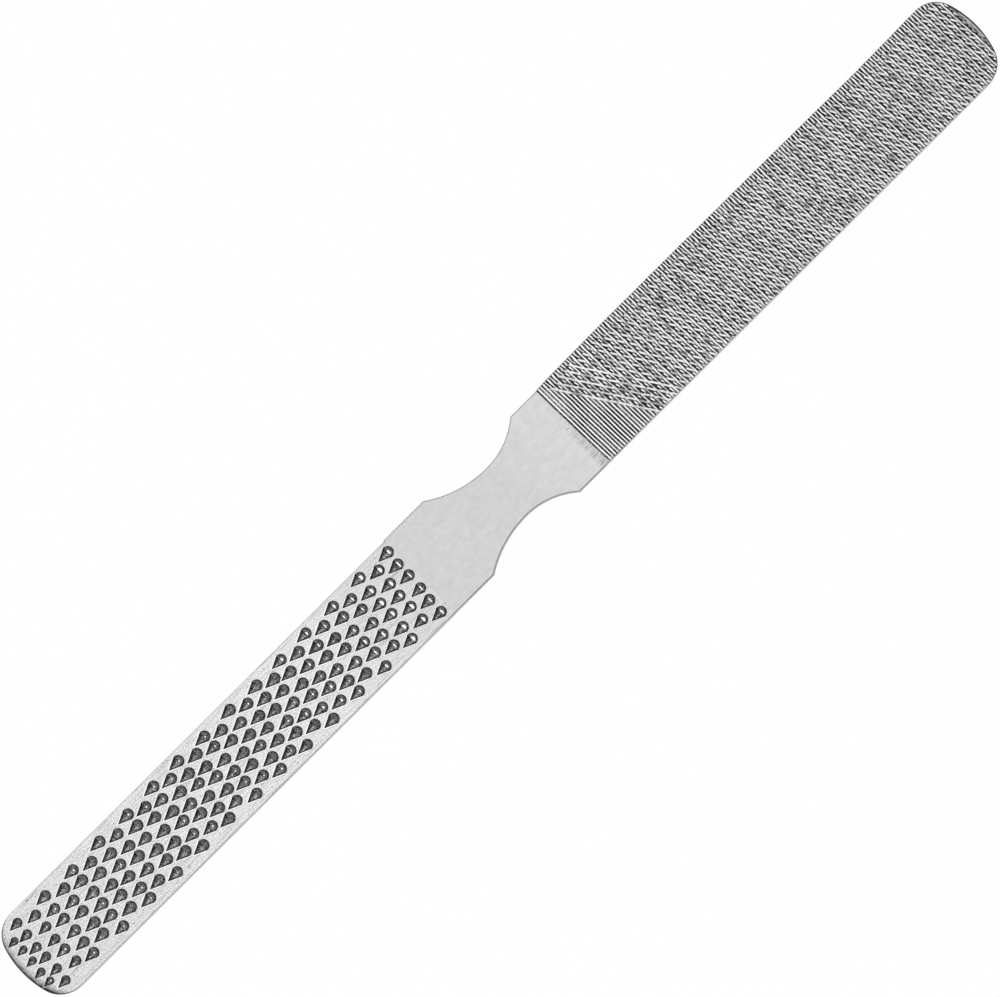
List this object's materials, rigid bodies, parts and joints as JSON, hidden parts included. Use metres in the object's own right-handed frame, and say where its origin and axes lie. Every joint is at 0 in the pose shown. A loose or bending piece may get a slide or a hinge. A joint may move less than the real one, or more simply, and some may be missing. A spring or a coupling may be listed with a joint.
{
  "type": "foot file",
  "caption": "Flat steel foot file with a punched rasp at one end, fine file cuts at the other and a waisted grip between them.",
  "frame": {"origin": "middle of the strip: half way along it, across it and through its thickness", "axes": "+X along the strip towards the file end, +Z out of the upper face, +Y across the strip"},
  "size_m": [0.18, 0.014, 0.0024],
  "materials": {
    "steel": "satin ground stainless steel, scratched bright between the rasp teeth"
  },
  "bodies": {
    "root": {"file_body": "steel"}
  },
  "joints": []
}
